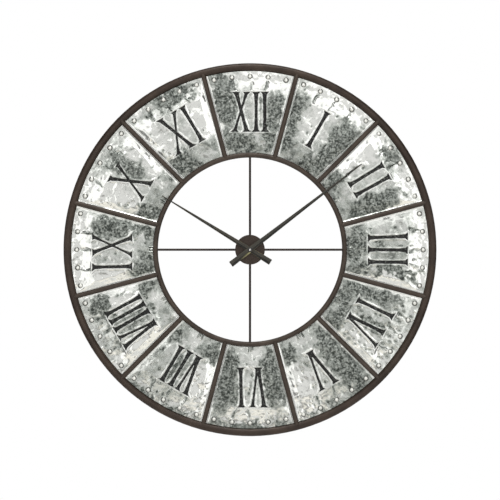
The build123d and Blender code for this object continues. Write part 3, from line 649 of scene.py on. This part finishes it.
def panel_relief(hour, theta, radius, edge, strokes):
    """How far the sheet stands in front of its margin, in mm, at each point.

    theta is in radians from the panel's middle line. radius, edge, the distance to the nearer side, and
    strokes, the distance to the numeral, are in mm."""
    chance = random.Random(hour)
    x, z = radius * np.sin(theta), radius * np.cos(theta)
    points = np.stack([x, z], axis=1)
    seed = hour * 7.31
    up = (radius - panel_inner / MM) / ((panel_outer - panel_inner) / MM)
    rise = panel_rise / MM
    side = np.clip((edge - 2.5) / (side_slope + side_slope_gain * (1 - ramp(up, 0.12, 0.5))), 0, 1)
    hub_end = np.clip((radius - panel_inner / MM - 2.0) / hub_slope, 0, 1)
    # The sheet climbs gently from the rim through the margin, and then in one long curve to the field.
    rim_end = 0.5 * np.clip((rim_edge - radius) / (rim_edge - field_edge), 0, 1)
    rim_end += 0.5 * (1 - ramp(radius, field_edge, margin_edge))
    # The two ends and the sides run into each other over rounded corners.
    ends = np.stack([side, hub_end, rim_end])
    relief = -rise / corner_sharpness * np.log(np.exp(-corner_sharpness * ends).sum(axis=0))

    quiet = ramp(strokes, 0.0, 9.0) * 0.6 + 0.4
    body = ramp(edge, 0.0, 12.0)
    dents = 1.3 * clouds(points, 32.0, seed) + 0.85 * clouds(points, 14.0, seed + 1)
    dents += 0.3 * clouds(points, 6.5, seed + 2)
    relief += dents * body * quiet

    relief -= hammer_depth * hammering(hour, x, z, strokes)
    relief += crease_height * creases(hour, x, z, clouds(points, 12.0, seed + 5))
    relief += crimp_height * crimps(hour, theta, radius)
    # Short nips lie at the rim between rivets.
    for number in (-1.5, 0.5, chance.choice((-0.5, 1.5))):
        line = radians(number * rivet_pitch + chance.uniform(-1, 1))
        relief += nip_height * ridge((theta - line) * radius, 2.2) * ramp(radius, 424, 434)

    # The sides are turned up against the bars.
    relief += turned_side * (1 - ramp(edge, 0.8, 2.8))

    # The numeral is pressed in, which throws up a lip round each stroke and leaves its floor crowned.
    relief += numeral_lip * ridge(strokes - 2.2, 2.0)
    relief -= numeral_depth * (1 - ramp(strokes, -1.6, 0.4))
    relief += floor_crown * (1 - ramp(strokes, -4.0, -1.8))
    # Nowhere does the sheet go back as far as the strip behind its margin.
    return np.maximum(relief, -0.6 - 0.1 * np.tanh(relief))


def panel_age_and_fold_shade(hour, across, up, theta, radius, edge, strokes):
    """How tarnished each point of a panel is: its patches, run together and broken at their edges, with
    painted shade beyond the folds at the hub end.
    """
    x, z = radius * np.sin(theta), radius * np.cos(theta)
    points = np.stack([x, z], axis=1)
    seed = hour * 3.17
    drift = 0.24 * clouds(points, 20.0, seed) + 0.14 * clouds(points, 7.0, seed + 1)
    lift = 0.14 * clouds(points, 20.0, seed + 2) + 0.08 * clouds(points, 7.0, seed + 3)
    age = np.full_like(across, plain_tarnish)
    for tarnish, middle, height, half_width, half_height in panel_patches[hour]:
        away = np.hypot((across + drift - middle) / half_width, (up + lift - height) / half_height)
        age += (tarnish - age) * (1 - ramp(away, 0.55, 1.4))
    # The hub end is duller, and dirt stays in the hammer marks, in the crimps and beside the creases.
    age += 0.18 * (1 - ramp(up, 0.16, 0.3))
    # From the numeral's foot a fold runs out to each corner of the hub end. Beyond it the sheet is painted
    # darker: painted shade on the side slopes.
    fold = 22.0 + (numeral_foot - z) * 0.62 + 3.0 * clouds(points, 16.0, seed + 7)
    age += 0.3 * ramp(np.abs(x) - fold, 0.0, 5.0) * (1 - ramp(z, 281, 291)) * ramp(edge, 3.0, 7.0)
    age += 0.6 * hammering(hour, x + 1.0, z - 1.0, strokes)
    age += 0.55 * crimps(hour, theta + 0.006, radius)
    age += 0.75 * np.abs(creases(hour, x + 1.5, z, clouds(points, 12.0, hour * 7.31 + 5)))
    # Hands and cloths keep the numeral's lip and the turned-up sides clean.
    age -= 0.5 * (1 - ramp(edge, 2.0, 6.0))
    rubbed = ridge(strokes - 2.2, 1.4) * (0.5 + 1.1 * clouds(points, 9.0, seed + 4))
    return np.clip(age, 0, 1) * (1 - np.clip(rubbed, 0, 1))


def dial_panel(hour, front, back):
    """One hammered panel: a fine grid bent to the sector's outline, then given the sheet's thickness."""
    columns, rows = 170, 160
    bpy.ops.mesh.primitive_grid_add(x_subdivisions=columns, y_subdivisions=rows, size=2)
    panel = bpy.context.object
    panel.name = f"hammered_panel_{hour:02d}"
    panel.data.name = panel.name
    flat = np.zeros(len(panel.data.vertices) * 3)
    panel.data.vertices.foreach_get("co", flat)
    flat = flat.reshape(-1, 3)
    radius = panel_inner + (flat[:, 1] + 1) / 2 * (panel_outer - panel_inner)
    half = radians(sector / 2) - np.arcsin(side_gap / radius)
    theta = flat[:, 0] * half
    edge = (half - np.abs(theta)) * radius
    points = np.stack([radius * np.sin(theta), radius * np.cos(theta)], axis=1) / MM
    strokes = stroke_distance(points[:, 0], points[:, 1], numeral_strokes[hour])
    # The numeral's outline wavers a little.
    strokes += 0.5 * clouds(points, 7.0, hour * 5.3)
    relief = panel_relief(hour, theta, radius / MM, edge / MM, strokes)
    paint = 1 - ramp(strokes, -0.2, 1.0)
    across, up = flat[:, 0], (flat[:, 1] + 1) / 2
    age = panel_age_and_fold_shade(hour, across, up, theta, radius / MM, edge / MM, strokes)
    angle = theta + radians(sector * hour)
    depth = margin_plane - relief * MM
    shaped = np.stack([radius * np.sin(angle), depth, radius * np.cos(angle)], axis=1)
    panel.data.vertices.foreach_set("co", shaped.ravel())
    for name, values in (("paint", paint), ("tarnish", age)):
        attribute = panel.data.attributes.new(name, "FLOAT", "POINT")
        attribute.data.foreach_set("value", values.astype(np.float32))
    panel.data.materials.append(front)
    panel.data.materials.append(back)
    wall = panel.modifiers.new("sheet", "SOLIDIFY")
    wall.thickness = sheet
    wall.offset = -1
    wall.material_offset = 1
    wall.material_offset_rim = 0
    bpy.ops.object.modifier_apply(modifier=wall.name)
    bpy.ops.object.shade_smooth()
    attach(panel, "frame")
    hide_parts(f"dial_panel_{hour:02d}")
    panel.select_set(False)
    return panel


# ---------------------------------------------------------------- weld beads
def bead_loop(angle, ring_centre, ring_tube, ring_plane, rod_radius, rod_plane, outward):
    """The line where a round rod meets a ring's tube, as points round the rod.

    outward is 1 where the rod stands outside the ring, and -1 where it stands inside."""
    loop = []
    out = Vector((sin(radians(angle)), 0, cos(radians(angle))))
    across = Vector((cos(radians(angle)), 0, -sin(radians(angle))))
    steps = 20
    for step in range(steps):
        turn = 2 * pi * step / steps
        depth = rod_plane + rod_radius * sin(turn)
        sideways = rod_radius * cos(turn)
        below = ring_tube**2 / 4 - (depth - ring_plane) ** 2
        reach = ring_centre + outward * sqrt(max(below, 0.0))
        along = sqrt(max(reach**2 - sideways**2, 0.0))
        loop.append(out * along + across * sideways + Vector((0, depth, 0)))
    return loop


def weld_beads(name, loops, size, finish):
    """Small uneven fillets of weld, one closed bead for each loop."""
    line = bpy.data.curves.new(name, "CURVE")
    line.dimensions = "3D"
    line.bevel_depth = size
    line.bevel_resolution = 2
    line.resolution_u = 2
    chance = random.Random(name)
    for loop in loops:
        spline = line.splines.new("NURBS")
        spline.points.add(len(loop) - 1)
        for point, place in zip(spline.points, loop):
            point.co = (*place, 1.0)
            point.radius = chance.uniform(0.7, 1.15)
        spline.use_cyclic_u = True
    beads = bpy.data.objects.new(name, line)
    bpy.context.collection.objects.link(beads)
    bpy.context.view_layer.objects.active = beads
    beads.select_set(True)
    bpy.ops.object.convert(target="MESH")
    beads = bpy.context.object
    bpy.ops.object.shade_smooth()
    beads.data.materials.clear()
    beads.data.materials.append(finish)
    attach(beads, "frame")
    beads.select_set(False)
    return beads


# ---------------------------------------------------------------- dressing the frame
def dress(nodes, finish):
    """Gives CAD nodes a finish, in place of the one that they came with."""
    for name in nodes:
        mesh = frame["nodes"][name].data
        mesh.materials.clear()
        mesh.materials.append(finish)


def nodes_with(slot):
    """The names of the CAD nodes that have a material slot."""
    return [part["node"] for part in frame["record"]["subparts"] if part["material_slot"] == slot]


# One bronze paint in four tones: inner ring and dividers paler as painted light, hub and spokes darker as
# painted shade.
bronze = bronze_finish("bronze_paint", (0.034, 0.0215, 0.0145), (0.063, 0.0415, 0.0285))
lit_bronze = bronze_finish("rubbed_bronze_paint", (0.045, 0.032, 0.023), (0.08, 0.059, 0.044))
hub_bronze = bronze_finish("hub_bronze_paint", (0.029, 0.0175, 0.0115), (0.053, 0.0345, 0.024))
shaded_bronze = bronze_finish("dark_bronze_paint", (0.016, 0.009, 0.006), (0.03, 0.0175, 0.012))
spokes = ["spoke_top", "spoke_right", "spoke_bottom", "spoke_left"]
inner_frame = ["inner_ring"] + [f"divider_{number:02d}" for number in range(1, 13)]
dress(nodes_with("bronze_frame"), bronze)
dress(inner_frame, lit_bronze)
dress(spokes, shaded_bronze)
dress(["hub_disc"], hub_bronze)
dress(
    ["hand_collar"],
    moulded_plastic("black_lacquer", (0.012, 0.012, 0.012), (0.03, 0.029, 0.027), 0.3, 0.003),
)
dress(["rivets"], rivet_finish())
dress(nodes_with("strip_steel"), bare_metal("plain_steel", (0.5, 0.5, 0.48), (0.2, 0.2, 0.19), 0.34))
hour_paint = hand_finish(
    "hour_hand_paint",
    hour_hand_angle,
    hour_hand_reach,
    tail_width=14.6 * MM,
    tip_width=2.2 * MM,
    edge_colour=(0.3, 0.24, 0.12),
    lit_side=1,
)
minute_paint = hand_finish(
    "minute_hand_paint",
    minute_hand_angle,
    minute_hand_reach,
    tail_width=15.0 * MM,
    tip_width=2.6 * MM,
    edge_colour=(0.17, 0.15, 0.1),
    lit_side=-1,
    tail_glint=0.8,
)
dress(["hour_hand"], hour_paint)
dress(["minute_hand"], minute_paint)
dress(nodes_with("nickel"), bare_metal("nickel_plate", (0.88, 0.86, 0.82), (0.6, 0.58, 0.52), 0.12))
dress(nodes_with("brass_parts"), bare_metal("turned_brass", (0.75, 0.56, 0.25), (0.4, 0.27, 0.1), 0.2))
dress(nodes_with("rubber_seal"), moulded_plastic("rubber", (0.02, 0.02, 0.02), (0.035, 0.035, 0.034), 0.7))
dress(
    nodes_with("black_plastic"),
    moulded_plastic("black_moulding", (0.016, 0.016, 0.017), (0.028, 0.028, 0.029), 0.42, 0.0006, 0.0001),
)
dress(nodes_with("cell_jacket"), cell_finish())
dress(nodes_with("spring_steel"), bare_metal("contact_strip", (0.78, 0.77, 0.72), (0.5, 0.48, 0.42), 0.22))
dress(nodes_with("gear_plastic"), moulded_plastic("acetal", (0.76, 0.74, 0.68), (0.84, 0.82, 0.77), 0.34))
dress(nodes_with("magnet"), bare_metal("bonded_magnet", (0.12, 0.12, 0.125), (0.06, 0.06, 0.06), 0.5))
dress(nodes_with("copper_wire"), winding_finish())
dress(nodes_with("board_green"), board_finish())

front_zinc = zinc_finish("hammered_zinc", True)
back_zinc = zinc_finish("zinc_back", False)
for hour in hours:
    dial_panel(hour, front_zinc, back_zinc)

divider_angles = [sector / 2 + sector * number for number in range(12)]
spoke_angles = [0, 90, 180, 270]
inner_loops = [
    bead_loop(angle, inner_ring_centre, inner_tube, inner_ring_plane, bar_radius, bar_plane, 1)
    for angle in divider_angles
]
outer_loops = [
    bead_loop(angle, outer_ring_centre, outer_tube, outer_ring_plane, bar_radius, bar_plane, -1)
    for angle in divider_angles
]
weld_beads("divider_welds", inner_loops + outer_loops, divider_weld, bronze)
spoke_loops = [
    bead_loop(angle, inner_ring_centre, inner_tube, inner_ring_plane, spoke_radius, spoke_plane, -1)
    for angle in spoke_angles
]
weld_beads("spoke_welds", spoke_loops, spoke_weld, shaded_bronze)


# ---------------------------------------------------------------- floor, light and camera
def softbox(name, place, size, radiance, colour=(1, 1, 1)):
    """A rectangular soft light turned to the dial, which the camera itself doesn't see."""
    lamp = bpy.data.lights.new(name, "AREA")
    lamp.shape = "RECTANGLE"
    lamp.size, lamp.size_y = size
    lamp.energy = radiance * pi * size[0] * size[1]
    lamp.color = colour
    box = bpy.data.objects.new(name, lamp)
    bpy.context.collection.objects.link(box)
    box.location = place
    box.rotation_mode = "QUATERNION"
    box.rotation_quaternion = (-Vector(place)).to_track_quat("-Z", "Y")
    box.visible_camera = False


def studio_world():
    """White to look at, and a softer pale grey as a source of light."""
    world = bpy.data.worlds.new("studio")
    bpy.context.scene.world = world
    world.use_nodes = True
    tree = world.node_tree
    tree.nodes.clear()
    output = tree.nodes.new("ShaderNodeOutputWorld")
    blend = tree.nodes.new("ShaderNodeMixShader")
    seen = tree.nodes.new("ShaderNodeBackground")
    light = tree.nodes.new("ShaderNodeBackground")
    path = tree.nodes.new("ShaderNodeLightPath")
    seen.inputs["Strength"].default_value = 1.0
    seen.inputs["Color"].default_value = (1, 1, 1, 1)
    light.inputs["Strength"].default_value = 0.17
    light.inputs["Color"].default_value = (1, 1, 1, 1)
    tree.links.new(path.outputs["Is Camera Ray"], blend.inputs["Fac"])
    tree.links.new(light.outputs[0], blend.inputs[1])
    tree.links.new(seen.outputs[0], blend.inputs[2])
    tree.links.new(blend.outputs[0], output.inputs["Surface"])


def floor():
    """A pale round floor below the clock."""
    place = (0, 0, floor_level)
    bpy.ops.mesh.primitive_circle_add(vertices=96, radius=floor_radius, fill_type="NGON", location=place)
    slab = bpy.context.object
    slab.name = "floor"
    pale = (0.9, 0.9, 0.89)
    shade = Shade("pale_floor", emission_color=(*pale, 1.0), emission_strength=0.15)
    slab.data.materials.append(shade.finish(pale, 0.6 + shade.grain(0.05) * 0.2))


studio_world()
floor()
softbox("front_fill", (0.05, -5.0, 0.05), (2.35, 2.35), 0.62)
softbox("right_key", (2.2, -4.1, 0.2), (2.2, 3.4), 1.15)
softbox("top_key", (0.1, -4.1, 2.2), (4.4, 2.2), 1.05)
softbox("left_fill", (-2.2, -4.1, 0.2), (2.2, 3.4), 1.05)
softbox("low_fill", (0.0, -4.1, -2.25), (4.4, 1.7), 0.86, (1.0, 0.96, 0.88))
softbox("overhead", (0.0, -1.4, 3.4), (2.0, 1.5), 6.5)
softbox("right_side", (3.4, -1.2, 0.1), (1.4, 1.4), 1.6)
softbox("left_side", (-3.4, -1.2, 0.1), (1.4, 1.4), 1.75)
softbox("back_fill", (0.6, 3.0, 1.2), (2.0, 2.0), 2.0)

view_width = 1.2256         # what the view takes in at the outer ring
camera_distance = 6.0
camera_drop = 0.75 * MM
camera = bpy.data.cameras.new("camera")
camera.sensor_width = 36.0
camera.lens = camera.sensor_width * camera_distance / view_width
camera_object = bpy.data.objects.new("camera", camera)
bpy.context.collection.objects.link(camera_object)
camera_object.location = (0, outer_ring_plane - camera_distance, -camera_drop)
camera_object.rotation_euler = (radians(90), 0, 0)
bpy.context.scene.camera = camera_object
bpy.context.scene.view_settings.view_transform = "Standard"
